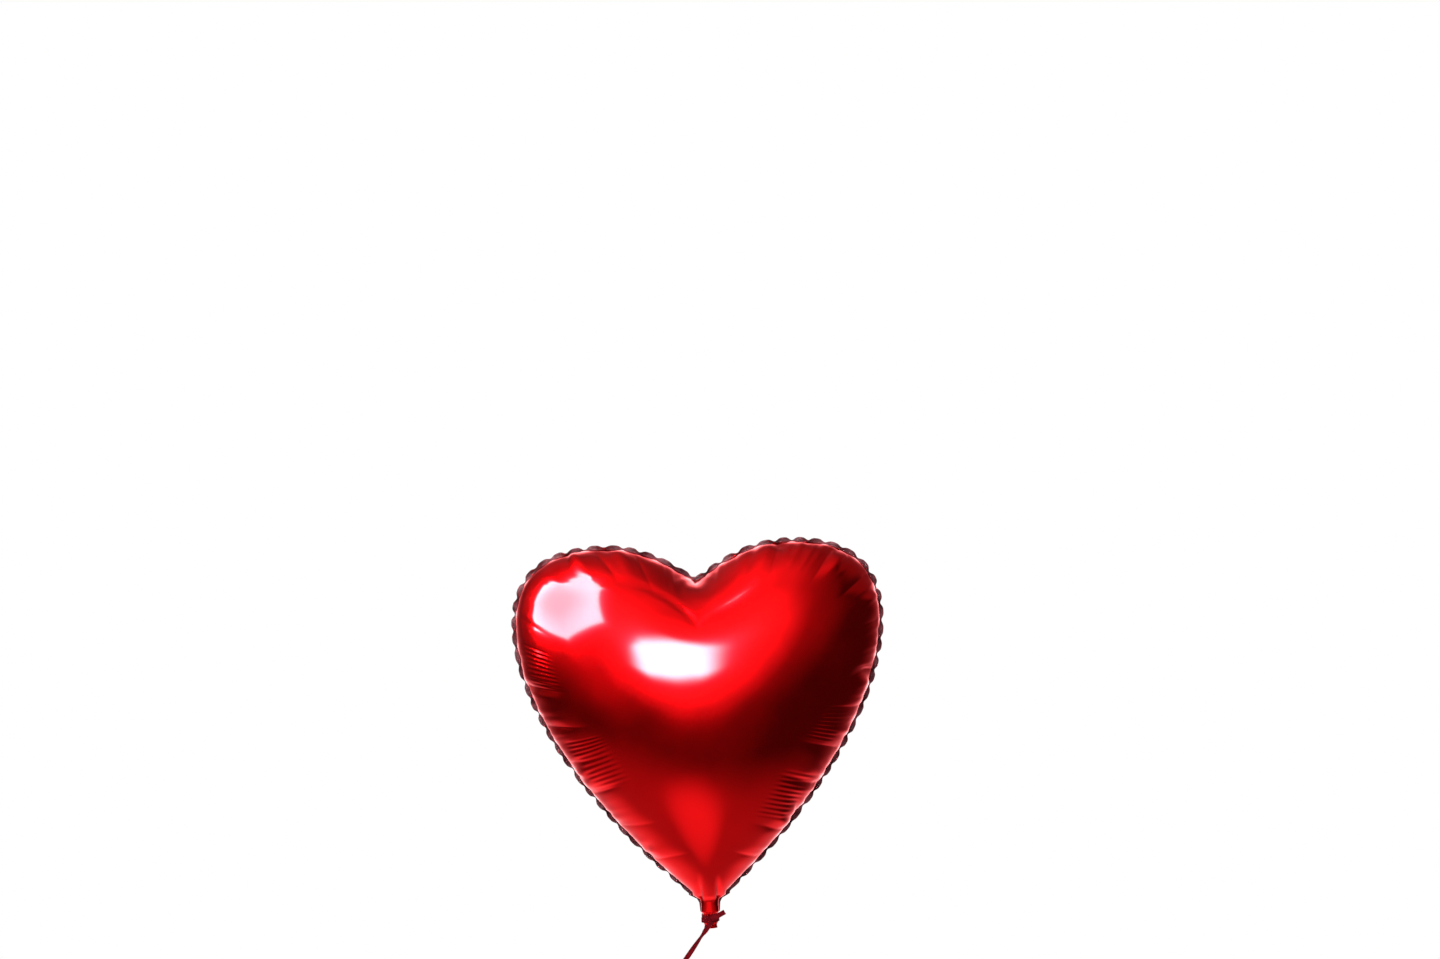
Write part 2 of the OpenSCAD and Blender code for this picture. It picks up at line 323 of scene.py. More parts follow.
def makeFreeRibbon(t):
    slant = math.radians(t["slant"])
    way = np.array((-math.sin(slant), 0, -math.cos(slant)))
    across = np.array((math.cos(slant), 0, -math.sin(slant)))
    points, outs, start, run = wrapped(t, way)
    turn = np.radians(np.interp(run, *np.array(t["twist"]).T))
    points = np.vstack([points, start + way * t["length"] * run])
    outs = np.vstack([outs, np.cos(turn) * front - np.sin(turn) * across])
    piece = ribbonPiece("freeRibbon", points, outs, t["width"], t["thick"], t["cup"])
    return piece, points, start, way, across


def knotPiece(name, middle, way, across, knot):
    # a pulled-tight overhand knot: the ribbon goes three times round through itself
    middle, way, across = np.array(middle), np.array(way), np.array(across)
    size, lobe = knot["size"], knotForm["lobe"]
    turn = np.linspace(0, 2 * math.pi, knotForm["steps"], endpoint=False)
    flat = np.c_[np.sin(turn) + lobe * np.sin(2 * turn), np.cos(turn) - lobe * np.cos(2 * turn)]
    lift = -np.sin(3 * turn)[:, None]
    points = (middle + size * (flat[:, :1] * across + knotForm["tall"] * flat[:, 1:] * way)
              + knotForm["lift"] * size * lift * front)
    forward, outward, lengthwise = knotForm["facing"]
    outs = forward * front + outward * unit(points - middle) + lengthwise * lift * way
    run = closedRun(points)
    outs = outs - np.sum(outs * run, axis=1, keepdims=True) * run
    return ribbonPiece(name, points, outs, knot["width"], knot["thick"], closed=True)


freeRibbon, ribbonLine, ribbonStart, ribbonWay, ribbonAcross = makeFreeRibbon(tether)
loopKnotAt = ribbonStart + ribbonWay * (tether["length"] + lowerKnot["radius"])
loopKnot = knotPiece("loopKnot", loopKnotAt, ribbonWay, ribbonAcross, lowerKnot)


def makeEndLoop(t):
    # teardrop loop: round below, drawn together into the knot above
    middle = loopKnotAt + ribbonWay * (lowerKnot["radius"] + t["below"])
    turn = np.linspace(0, 2 * math.pi, t["steps"], endpoint=False)
    pinch = 1 - t["pinch"] * np.exp(-((turn - math.pi) / t["pinchTurn"]) ** 2)
    outs = np.cos(turn)[:, None] * ribbonWay + (np.sin(turn) * pinch)[:, None] * front
    points = middle + t["radius"] * outs
    normals = unit(np.cross(closedRun(points), ribbonAcross))
    return ribbonPiece("endLoop", points, normals, tether["width"], tether["thick"], closed=True)


endLoop = makeEndLoop(handLoop)


def makeTag(t):
    slant = math.radians(t["slant"])
    way = np.array((math.sin(slant), 0, math.cos(slant)))
    points, outs, start, run = wrapped(t, way)
    points = np.vstack([points, start + way * t["length"] * run + t["curl"] * run ** 2 * front])
    outs = np.vstack([outs, unit(front - way * 2 * run * t["curl"] / t["length"])])
    return ribbonPiece("tagEnd", points, outs, tether["width"], tether["thick"], -tether["cup"])


tag = makeTag(tagEnd)
tieKnot = knotPiece("tieKnot", upperKnot["at"], upperKnot["way"], upperKnot["across"], upperKnot)


def makeNeckLoop(t):
    turn = np.linspace(0, 2 * math.pi * t["turns"], t["turnSteps"] * t["turns"])
    around = turn - math.pi / 2
    radius = t["radius"] + t["step"] * turn / math.pi
    lower = smoothStep(turn / turn[-1] * 2 - 0.5)
    height = t["high"] + (t["low"] - t["high"]) * lower + t["sway"] * np.sin(t["swayRate"] * turn)
    outs = np.c_[np.cos(around), np.sin(around), 0 * turn]
    points = outs * radius[:, None] + np.c_[0 * turn, 0 * turn, height]
    return ribbonPiece("neckLoop", points, outs, t["width"], t["thick"])


neckLoop = makeNeckLoop(neckTie)

for piece, body, node in ((freeRibbon, "tether", "ribbon"), (loopKnot, "tether", "loop_knot"),
                          (endLoop, "tether", "end_loop"), (tag, "tag", "tag_end"),
                          (tieKnot, "tie", "tie_knot"), (neckLoop, "tie", "neck_loop")):
    piece.visible_glossy = False  # the dull ribbon leaves no mirror image in the foil above it
    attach(piece, body)
    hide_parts(node)


# heart outline, right half, in millimetres: the filled rim, and the seam of the film as it was cut flat
heart = {
    "rim": [(0, 337), (16, 347), (47, 373), (95, 373), (155, 373), (190, 347), (190, 292), (190, 197),
            (105, 89), (22, 14)],
    "cut": [(0, 384.5), (16, 396.5), (57, 410), (99, 410), (165, 410), (229.6, 361), (229.6, 285),
            (229.6, 170), (147, 68), (47.7, -7.4)],
    # the half outline counts 70 parts: where its curves join, the notch's rim and the end of the cut heart
    "parts": 70,
    "joins": (12, 29),
    "notchParts": 2,
    "cutParts": 66,
    "cutTip": (22, -12.0),
    "rimWidth": 7.0,
    "seamIn": 5.0,
    "notchUp": 1.2,
    "crown": 212.0,
    "rootRise": 1.42,
    # heights along the middle line, filled and cut flat
    "filledRoots": [8, 29, 36, 45, 57, 73, 235],
    "cutRoots": [-34, -12, 8, 31, 54, 72, 240],
    "depth": 100.0,
    "cutSteps": 400,
    "cutNeck": 14.5,
    "cutNeckDrops": (6, 40),
    "cutNeckLow": -150.0,
}
neck = {
    "top": 14.0,
    "low": -21.0,
    # height, half width at the seam, weld beyond it, half depth
    "rows": [(9, 9.8, 3.0, 13.4), (5, 8.9, 1.8, 12.0), (-4.2, 9, 0.9, 8.4), (-5.6, 7.5, 0.3, 7.5),
             (-15, 7.5, 0.3, 7.5), (-17.4, 5.9, 0.3, 5.7), (-21, 6.5, 0.3, 6.0)],
    "topWeld": 3.6,
    "topDepth": 16.0,
    "count": 44,
    "fineSteps": 400,
    "soften": 9,
    "gather": (-3, 6),  # starts below, full after
    "pleats": (9, 0.13, 0.13, 8),  # number, depth, turn for each millimetre, power that keeps the seam
    "flat": 0.5,
    "blend": (5, 14),  # heights over which the tube turns into the heart
    # folds up from the tube's sides: off the middle, width, depth, heights where they start and fade
    "folds": (9.6, 2.6, 2.4, (2, 8), (16, 42)),
    "foldEdge": 5,
}
grid = {"columns": 520, "rings": 37, "rimRows": 3}
membrane = {"rounds": 1500, "close": 1e-10, "least": 1e-9}
pucker = {"calmColumns": 42, "fade": (25, 75), "strength": 0.36, "heights": (30, 80)}
weld = {
    "width": 4.5,
    "fullFrom": 59.0,
    "wave": 35.0,
    "swing": 70,
    "seed": 11,
    "drift": (50, 0.4),  # number, spread
    "swings": (80, 0.75, 1.15),  # number, least, most
    "shape": (0.35, 0.65),  # shares of the plain wave and of the sharp one
    "rootTurn": 0.6,
    "heights": (10, 30),
}
crease = {  # millimetres, from the seam inwards or along it
    "seed": 5,
    "count": 60,
    "start": -60,
    "gap": (36, 60),
    "slant": 0.25,
    "depth": 1.5,
    "depthShares": (0.35, 1.3),
    "sharp": 4,
    "lip": 5,
    "fade": (12, 46),
    "heights": (30, 60),
    "calmNotch": (45, 95),
    "collar": (38, 4.5, 1.2, 0.06),  # inwards, width, depth, share of the depth on the right
    "collarTurn": 40,
    "collarEnds": (95, 160),
    "ribs": [(-1, 286, 232, 5, 40, 0.35), (-1, 178, 120, 8, 48, 0.4), (1, 205, 158, 10, 42, 0.35),
             (1, 134, 84, 6, 42, 0.4)],  # side, seam height from and to, inwards from and to, depth
    "ribEase": (8, 8, 10),  # along the seam, at the outer end, at the inner end
    "ribPitch": 5.2,
    "smooth": (-300, -130, 30, 0.2),  # the front's left shoulder: from, to, ease and the share left
}
inflate = {
    "band": 3.2,
    "bandEnds": (0.7, 34),  # from, in spacings, and to, in millimetres off the seam
    "zones": [(4.5, 34, 75), (7.0, 75, 1e9)],  # spacing, from and to off the seam
    "rowShare": 0.866,
    "jitter": 0.12,
    "mergeGap": 1e-6,
    "batch": 2000,
    "lift": (0.6, 10),  # most, reached so far off the seam
    "neckWeld": (12, 1.5),  # below this height, width
    "wobble": 0.25,
    "frames": 24,
    "seed": 7,
    "scale": 0.01,
}
filmFeel = {
    "quality": 5, "mass": 0.003, "air_damping": 1.0,
    "tension_stiffness": 60, "compression_stiffness": 60, "shear_stiffness": 40, "bending_stiffness": 0.15,
    "tension_damping": 8, "compression_damping": 8, "shear_damping": 8, "bending_damping": 0.3,
    "use_pressure": True, "uniform_pressure_force": 10.0, "vertex_group_pressure": "filled",
}
settle = {
    "tips": 40,  # columns left out of the fit
    "full": 99.9,  # percentile that counts as the full depth
    "along": (1.3, 14, 1.5, 170, 0.4),  # smoothing in columns: at the rim, growth, power, by the middle, from
    "across": 1.4,
    "edge": 0.3,
    "pull": (0.5, 1.0),
}
# noGlintFrom: the distance given where no painted highlight goes beside the weld; top: how far up the rim
# faces before the painted highlight is dropped, and over how much
film = {"thick": 0.0001, "noGlintFrom": 0.02, "top": (0.2, 0.5)}


def heartLine(shape, at):
    points = np.array(heart[shape], float)
    a, b = (k / heart["parts"] for k in heart["joins"])
    t = np.where(at < a, at / a, np.where(at < b, (at - a) / (b - a), (at - b) / (1 - b)))[:, None]
    first = np.where(at < a, 0, np.where(at < b, 3, 6))
    c = [points[first + k] for k in range(4)]
    place = c[0] * (1 - t) ** 3 + 3 * c[1] * t * (1 - t) ** 2 + 3 * c[2] * t * t * (1 - t) + c[3] * t ** 3
    run = unit((c[1] - c[0]) * (1 - t) ** 2 + 2 * (c[2] - c[1]) * t * (1 - t) + (c[3] - c[2]) * t * t)
    return place, np.c_[-run[:, 1], run[:, 0]]


def bySpline(z, table, column):
    # soft steps between the stated neck rows
    keys = np.array(sorted(table))
    fine = np.linspace(keys[0, 0], keys[-1, 0], neck["fineSteps"])
    values = np.interp(fine, keys[:, 0], keys[:, column])
    kernel = np.hanning(2 * neck["soften"] + 1)
    padded = np.pad(values, neck["soften"], mode="edge")
    values = np.convolve(padded, kernel / kernel.sum(), "valid")
    return np.interp(z, fine, values)


# rows of one side: the heart from the notch to the tip, then the neck down to the tail's mouth
heartCount = grid["columns"]
share = np.linspace(0, 1, heartCount + 1)
rimLine, rimOut = heartLine("rim", share)
rimOut[0] = (0, 1)
notchEase = smoothStep(share * heart["parts"] / heart["notchParts"])[:, None]
rimOut = unit(rimOut * notchEase + np.array((0, heart["notchUp"])) * (1 - notchEase))
seamLine = rimLine - heart["seamIn"] * rimOut
seamLine[0] = (0, seamLine[0, 1])
rootHeight = neck["top"] + heart["rootRise"] * (seamLine[:, 1] - seamLine[-1, 1])
rootHeight = np.minimum(heart["crown"], rootHeight)
neckHeights = np.linspace(neck["top"], neck["low"], neck["count"] + 1)[1:]
neckTable = [(neck["top"], seamLine[-1, 0], neck["topWeld"], neck["topDepth"])] + neck["rows"]
neckHalf, neckWeld, neckDepth = (bySpline(neckHeights, neckTable, k) for k in (1, 2, 3))
rings = np.sin(np.linspace(0, math.pi / 2, grid["rings"] + 1))

heartSpan = slice(neck["count"], neck["count"] + 2 * heartCount + 1)
# along the seam from the notch, left below zero
seamRun = lengthAlong(seamLine)
seamRun = np.concatenate([-seamRun[::-1], seamRun[1:]])[:, None]


def plainHeart():
    # the plain filled form over the outline, neck and all: its squared depth is the height of a loaded
    # membrane, which gives a true ellipsoid over an ellipse and a round tube over a strip
    seam = np.concatenate([seamLine, np.c_[neckHalf, neckHeights]])
    root = np.concatenate([rootHeight, neckHeights])
    x = seam[:, :1] * rings[None]
    z = root[:, None] + (seam[:, 1] - root)[:, None] * rings[None]
    x, z = np.moveaxis(mirrored(np.stack([x, z], 2)), 2, 0)
    columns, count = x.shape
    row = np.abs(np.arange(columns) - columns // 2)
    lastCrown = np.where(root >= heart["crown"])[0][-1]
    ids = np.arange(columns * count).reshape(columns, count) + columns
    ids[:, 0] = np.maximum(0, row - lastCrown)
    ids = np.unique(ids.ravel(), return_inverse=True)[1].reshape(columns, count)
    total = ids.max() + 1
    place = np.zeros((total, 2))
    place[ids.ravel()] = np.c_[x.ravel(), z.ravel()]
    a, b, c, d = ids[:-1, :-1], ids[1:, :-1], ids[1:, 1:], ids[:-1, 1:]
    corners = np.concatenate([np.stack(t, 2).reshape(-1, 3) for t in ((a, b, c), (a, c, d))])
    corners = corners[(corners[:, 0] != corners[:, 1])]
    p = place[corners]
    area = 0.5 * np.abs(cross2(p[:, 1] - p[:, 0], p[:, 2] - p[:, 0]))
    side = np.stack([p[:, 2] - p[:, 1], p[:, 0] - p[:, 2], p[:, 1] - p[:, 0]], 1)
    stiff = np.einsum("nid,njd->nij", side, side) / (4 * area + membrane["least"])[:, None, None]
    rowId = np.repeat(corners, 3, axis=1).ravel()
    colId = np.tile(corners, (1, 3)).ravel()
    value = stiff.reshape(-1)
    load = np.bincount(corners.ravel(), np.repeat(area / 3, 3), total)
    fixed = np.zeros(total, bool)
    fixed[ids[:, -1]] = True
    height = np.zeros(total)

    def pulled(v):
        return np.bincount(rowId, value * v[colId], total)

    own = rowId == colId
    weight = np.bincount(rowId[own], value[own], total)
    rest = np.where(fixed, 0, load)
    step = rest / weight
    toward, size = step.copy(), rest @ step
    began = size
    for k in range(membrane["rounds"]):
        push = np.where(fixed, 0, pulled(toward))
        stride = size / (toward @ push)
        height += stride * toward
        rest -= stride * push
        step = rest / weight
        after = rest @ step
        if after < membrane["close"] * began:
            break
        toward, size = step + after / size * toward, after
    height = height / height.max()
    y = -heart["depth"] * np.sqrt(np.maximum(0, height))[ids]
    print("plain form in", k, "rounds")
    return np.stack([x, y, z], axis=2)


def neckForm():
    # the inflated neck, the pleated gather under the ribbon and the flared tail
    around = np.arcsin(np.minimum(rings, 1))[None]
    start, ease = neck["gather"]
    tight = smoothStep((start - neckHeights) / ease)[:, None]
    number, deep, turn, edge = neck["pleats"]
    fold = 0.5 + 0.5 * np.cos(2 * number * around + turn * neckHeights[:, None])
    draw = 1 - tight * deep * fold * (1 - rings[None] ** edge)
    x = neckHalf[:, None] * np.sin(around) * draw
    y = -neckDepth[:, None] * np.maximum(np.cos(around), 0) ** (1 - neck["flat"] * (1 - tight)) * draw
    z = np.repeat(neckHeights[:, None], len(rings), axis=1)
    return np.stack([x, y, z], axis=2)


def flatSeam():
    # the cut film's seam as a closed line, evenly spaced
    line, _ = heartLine("cut", np.linspace(0, 1, heart["cutSteps"]))
    heights = [line[-1, 1] - drop for drop in heart["cutNeckDrops"]] + [heart["cutNeckLow"]]
    side = np.vstack([line, [(heart["cutNeck"], z) for z in heights]])
    full = np.vstack([side, (side * [-1, 1])[::-1][:-1]])
    full = np.vstack([full, full[:1]])
    length = lengthAlong(full)
    count = int(round(length[-1] / inflate["band"] / 2)) * 2
    at = np.arange(count) * length[-1] / count
    return np.c_[np.interp(at, length, full[:, 0]), np.interp(at, length, full[:, 1])]


def flatFilm(seam, dice):
    # points over the cut film, close together along the seam where it puckers
    count, batch = len(seam), inflate["batch"]
    after = np.roll(seam, -1, 0)

    def seamDistance(points):
        starts = range(0, len(points), batch)
        return np.concatenate([
            np.sqrt(((points[k:k + batch, None] - seam[None]) ** 2).sum(2).min(1)) for k in starts])

    def isInside(points):
        inside = np.zeros(len(points), bool)
        for a, b in zip(seam, after):
            cross = a[0] + (b[0] - a[0]) * (points[:, 1] - a[1]) / (b[1] - a[1] + tiny)
            inside ^= ((a[1] > points[:, 1]) != (b[1] > points[:, 1])) & (points[:, 0] < cross)
        return inside

    groups = [seam]
    low, high = seam.min(0), seam.max(0)
    clear, bandTo = inflate["bandEnds"]
    for step, near, far in [(inflate["band"], clear * inflate["band"], bandTo)] + inflate["zones"]:
        heights = np.arange(low[1], high[1], step * inflate["rowShare"])
        rows = [np.arange(low[0] + (k % 2) * step / 2, high[0], step) for k in range(len(heights))]
        points = np.vstack([np.c_[row, np.full(len(row), z)] for row, z in zip(rows, heights)])
        points = points + dice.uniform(-inflate["jitter"], inflate["jitter"], points.shape) * step
        points = points[isInside(points)]
        off = seamDistance(points)
        groups.append(points[(off >= near) & (off < far)])
    edges = [(k, (k + 1) % count) for k in range(count)]
    found = delaunay_2d_cdt([Vector(p) for p in np.vstack(groups)], edges, [], 1, inflate["mergeGap"])
    points = np.array([tuple(v) for v in found[0]])
    return points, [tuple(f) for f in found[2]], seamDistance(points)


def fillHeart():
    # two flat films, welded round the edge, are blown up as cloth until they stand
    began = time.time()
    dice = np.random.default_rng(inflate["seed"])
    seam = flatSeam()
    count = len(seam)
    points, faces, off = flatFilm(seam, dice)
    total = len(points)
    ahead = closedRun(seam)
    out = np.c_[-ahead[:, 1], ahead[:, 0]]
    out = out if np.sum(out * (seam - seam.mean(0))) > 0 else -out
    most, over = inflate["lift"]
    lift = most * np.minimum(1, off / over)
    rear = np.arange(total)
    rear[count:] += total - count
    neckHigh, neckWide = inflate["neckWeld"]
    wide = np.where(seam[:, 1] > neckHigh, heart["rimWidth"], neckWide)[:, None]
    wobble = dice.normal(0, inflate["wobble"], count)
    places = [np.c_[points[:, 0], -lift, points[:, 1]],
              np.c_[points[count:, 0], lift[count:], points[count:, 1]]]
    for k in (1, 2):
        row = seam + out * wide * k / 2
        places.append(np.c_[row[:, 0], wobble * k, row[:, 1]])
    places = np.vstack(places)
    rowA = 2 * total - count
    rowB = rowA + count
    mesh = bpy.data.meshes.new("filmFilling")
    strips = []
    for k in range(count):
        m = (k + 1) % count
        strips += [(k, m, rowA + m), (k, rowA + m, rowA + k), (rowA + k, rowA + m, rowB + m),
                   (rowA + k, rowB + m, rowB + k)]
    rearFaces = [tuple(int(rear[v]) for v in f[::-1]) for f in faces]
    mesh.from_pydata((places * inflate["scale"]).tolist(), [], [*faces, *rearFaces, *strips])
    filling = linkObject("filmFilling", mesh)
    filling.vertex_groups.new(name="filled").add(list(range(rowA)), 1.0, "REPLACE")
    cloth = filling.modifiers.new("filling", "CLOTH")
    for name, value in filmFeel.items():
        setattr(cloth.settings, name, value)
    cloth.settings.effector_weights.gravity = 0
    cloth.collision_settings.use_collision = False
    cloth.point_cache.frame_start, cloth.point_cache.frame_end = 1, inflate["frames"]
    for k in range(1, inflate["frames"] + 1):
        scene.frame_set(k)
    filled = filling.evaluated_get(bpy.context.evaluated_depsgraph_get()).data
    co = np.zeros(len(filled.vertices) * 3)
    filled.vertices.foreach_get("co", co)
    co = co.reshape(-1, 3) / inflate["scale"]
    bpy.data.objects.remove(filling)
    scene.frame_set(1)
    took = round(time.time() - began, 1)
    print("filled", len(co), "points in", took, "s, box", co.min(0).round(), co.max(0).round())
    return points, np.array(faces), rear, co


def readFilled():
    # the filled film read off on even rows and rings, left tip over the notch to the right tip
    points, faces, rear, co = fillHeart()
    parts, cutParts = heart["parts"], heart["cutParts"]
    cut, _ = heartLine("cut", np.minimum(share * parts / cutParts, 1))
    past = np.clip((share * parts - cutParts) / (parts - cutParts), 0, 1)[:, None]
    cut = cut * (1 - past) + past * np.array(heart["cutTip"])
    root = np.interp(rootHeight, heart["filledRoots"], heart["cutRoots"])
    reach = 1 - filmIn[heartCount:] / filmIn[heartCount:, :1]
    x = cut[:, :1] * reach
    z = root[:, None] + (cut[:, 1] - root)[:, None] * reach
    both = mirrored(np.stack([x, z], 2))
    spots = both.reshape(-1, 2)
    tree = BVHTree.FromPolygons([(p[0], p[1], 0) for p in points], faces.tolist())
    hit = np.array([tree.find_nearest((p[0], p[1], 0))[2] for p in spots])
    a, b, c = (points[faces[hit, k]] for k in range(3))
    area = cross2(b - a, c - a)
    wb = cross2(spots - a, c - a) / area
    wc = cross2(b - a, spots - a) / area
    weights = np.clip(np.stack([1 - wb - wc, wb, wc], 1), 0, 1)
    weights /= weights.sum(1, keepdims=True)
    sides = [np.einsum("nk,nkd->nd", weights, co[ids[hit]]) for ids in (faces, rear[faces])]
    return np.array(sides).reshape(2, *both.shape[:2], 3)


def gauss(count, width):
    step = np.arange(count)
    kernel = np.exp(-((step[:, None] - step[None]) / width) ** 2 / 2)
    return kernel / kernel.sum(1, keepdims=True)


def settleFilm(found):
    # fitted to the part's own outline and depth, with the mesh's own facets smoothed away
    target = mirrored(seamLine)
    seam = found[0, :, -1]
    fitted = found.copy()
    inner = slice(settle["tips"], -settle["tips"])
    for axis, k in ((0, 0), (2, 1)):
        slope, offset = np.polyfit(seam[inner, axis], target[inner, k], 1)
        fitted[..., axis] = found[..., axis] * slope + offset
    fitted[..., 1] -= np.median(fitted[:, :, -1, 1])
    for face, sign in ((0, -1), (1, 1)):
        fitted[face, ..., 1] *= heart["depth"] / np.percentile(sign * fitted[face, ..., 1], settle["full"])
    middle = heartCount
    atRim, growth, power, byMiddle, middleFrom = settle["along"]
    for j, r in enumerate(rings):
        width = atRim + growth * (1 - r) ** power + byMiddle * max(0, middleFrom - r)
        fitted[:, :, j] = np.einsum("ab,fbd->fad", gauss(2 * heartCount + 1, width), fitted[:, :, j])
    # across the middle line, root to rim on both sides
    count = len(rings)
    lines = np.concatenate([fitted[:, middle::-1][:, :, ::-1], fitted[:, middle:][:, :, 1:]], axis=2)
    spread = gauss(2 * count - 1, settle["across"])
    edge = np.abs(np.concatenate([-rings[::-1], rings[1:]]))
    calm = smoothStep((1 - edge) / settle["edge"])[None, None, :, None]
    lines = lines * (1 - calm) + calm * np.einsum("ab,fibd->fiad", spread, lines)
    fitted[:, middle::-1] = lines[:, :, count - 1::-1]
    fitted[:, middle:] = lines[:, :, count - 1:]
    off = fitted[:, :, -1] - np.c_[target[:, 0], 0 * target[:, 0], target[:, 1]][None]
    off = off.mean(0, keepdims=True)
    pull = rise(rings, *settle["pull"])[None, None, :, None]
    print("seam off by", np.abs(off).max((0, 1)).round(1), "mm at most before it is pulled to the outline")
    return fitted - off[:, :, None] * pull


def shoulder(face):
    # the front's left shoulder is drawn nearly smooth
    start, end, ease, left = crease["smooth"]
    inside = smoothStep((seamRun - start) / ease) * smoothStep((end - seamRun) / ease)
    return 1 - (1 - left) * inside * (face == 0)


def dressFilm(face, plain, filled):
    # the filled film's puckers stay along the weld and die out inwards over the plain form
    wide = gauss(2 * heartCount + 1, pucker["calmColumns"])
    gap = filled - plain
    calm = np.einsum("ab,bjd->ajd", wide, gap)
    fade = 1 - rise(filmIn, *pucker["fade"])
    return plain + (gap - calm) * (fade * shoulder(face))[..., None] * pucker["strength"]


def creaseDepths(face, both):
    # how far the film is drawn in: creases off the weld, patches of ribs, a collar below the notch
    seam = both[:, -1][:, [0, 2]]
    inward = np.linalg.norm(both[..., [0, 2]] - seam[:, None], axis=2)
    along = seamRun
    count = crease["count"]
    dice = np.random.default_rng(crease["seed"] + face)
    lines = along[0, 0] + np.cumsum(dice.uniform(*crease["gap"], count)) + crease["start"]
    deep = crease["depth"] * dice.uniform(*crease["depthShares"], count)
    lean = np.interp(along, lines, crease["slant"] * dice.uniform(-1, 1, count))
    at = along + lean * inward
    k = np.clip(np.searchsorted(lines, at) - 1, 0, count - 2)
    part = np.clip((at - lines[k]) / (lines[k + 1] - lines[k]), 0, 1)
    hold = smoothStep(inward / crease["lip"]) * (1 - rise(inward, *crease["fade"]))
    calm = rise(np.abs(along), *crease["calmNotch"])
    drawn = np.where(part < 0.5, deep[k], deep[k + 1]) * np.abs(2 * part - 1) ** crease["sharp"]
    drawn = drawn * hold * calm * shoulder(face)
    off, wide, sunk, right = crease["collar"]
    ends = 1 - rise(np.abs(along), *crease["collarEnds"])
    sunk = sunk * (1 - (1 - right) * smoothStep(0.5 + along / crease["collarTurn"]))
    drawn = drawn + sunk * np.exp(-((inward - off) / wide) ** 2) * ends
    wave = 0.5 + 0.5 * np.cos(2 * math.pi * along / crease["ribPitch"])
    x, z = seam[:, :1], seam[:, 1:]
    alongEase, outerEase, innerEase = crease["ribEase"]
    for side, high, low, near, far, depth in crease["ribs"]:
        side = side if face == 0 else -side
        rows = (x * side > 0) * smoothStep((high - z) / alongEase) * smoothStep((z - low) / alongEase)
        drawn = drawn + (depth * wave * rows * smoothStep((inward - near) / outerEase)
                         * smoothStep((far - inward) / innerEase))
    return drawn


def neckFolds(both):
    # two folds run up from the sides of the neck's tube and die out over the tip of the heart
    off, wide, deep, starts, ends = neck["folds"]
    aside, high = np.abs(both[..., 0]), both[..., 2]
    run = rise(high, *starts) * (1 - rise(high, *ends))
    run = run * smoothStep((aside[:, -1:] - aside) / neck["foldEdge"])
    return deep * run * np.exp(-((aside - off) / wide) ** 2)


def panelGrid(face, filled):
    # all columns of one panel, left mouth over the notch to the right mouth, roots first, seam last
    sign = -1 if face == 0 else 1
    low = neckForm()
    low = np.concatenate([(low * [-1, 1, 1])[::-1], np.zeros_like(plainForm[heartSpan]), low])
    both = plainForm.copy()
    tube = rise(both[..., 2:], *neck["blend"])
    tube[heartSpan] = 1
    both = both * tube + low * (1 - tube)
    both[..., 1] *= -sign
    if filled is not None:
        plain = both[heartSpan]
        keep = rise(plain[..., 2], *pucker["heights"])[..., None]
        both[heartSpan] = dressFilm(face, plain, filled[face]) * keep + plain * (1 - keep)
    out = np.cross(np.gradient(both, axis=0), np.gradient(both, axis=1))
    out = unit(out + tiny) * np.sign(np.sum(out[..., 1]) * sign)
    drawn = neckFolds(both)
    drawn[heartSpan] += creaseDepths(face, both[heartSpan]) * rise(both[heartSpan, :, 2], *crease["heights"])
    drawn[:, 0] = 0
    both -= out * drawn[..., None]
    half = neck["count"] + heartCount
    both[:, 0, 0] = 0
    both[:half, 0] = both[:half:-1, 0] = 0.5 * (both[:half, 0] + both[:half:-1, 0])
    lastCrown = np.where(rootHeight >= heart["crown"])[0][-1]
    crown = slice(half - lastCrown, half + lastCrown + 1)
    both[crown, 0] = both[crown, 0].mean(0)
    both[:, -1, 1] = 0
    return both


def weldRim(both):
    # the flat weld swings to and fro along the seam, so that it shows as a row of short dashes
    seam = both[:, -1]
    taper = rise(seamLine[:, 1:], neck["top"], weld["fullFrom"])
    taper = neck["topWeld"] + (weld["width"] - neck["topWeld"]) * taper
    line = mirrored(np.concatenate([rimOut * taper, np.c_[neckWeld, 0 * neckWeld]]))
    reach = np.linalg.norm(line, axis=1)
    along = lengthAlong(seam[:, [0, 2]])
    dice = np.random.default_rng(weld["seed"])
    count, spread = weld["drift"]
    drift = np.interp(along, np.linspace(0, along[-1], count), np.cumsum(dice.normal(0, spread, count)))
    count, least, most = weld["swings"]
    swing = np.interp(along, np.linspace(0, along[-1], count), dice.uniform(least, most, count))
    wave = np.sin(2 * math.pi * along / weld["wave"] + drift)
    plainShare, sharpShare = weld["shape"]
    angle = math.radians(weld["swing"]) * swing * (plainShare * wave + sharpShare * wave ** 3)
    angle = angle * rise(seam[:, 2], *weld["heights"])
    rows = []
    for k in range(1, grid["rimRows"] + 1):
        q = k / grid["rimRows"]
        turn = angle * (weld["rootTurn"] + (1 - weld["rootTurn"]) * q)
        rows.append(np.c_[seam[:, 0] + line[:, 0] * q * np.cos(turn), reach * q * np.sin(turn),
                          seam[:, 2] + line[:, 1] * q * np.cos(turn)])
    return np.stack(rows, 1)


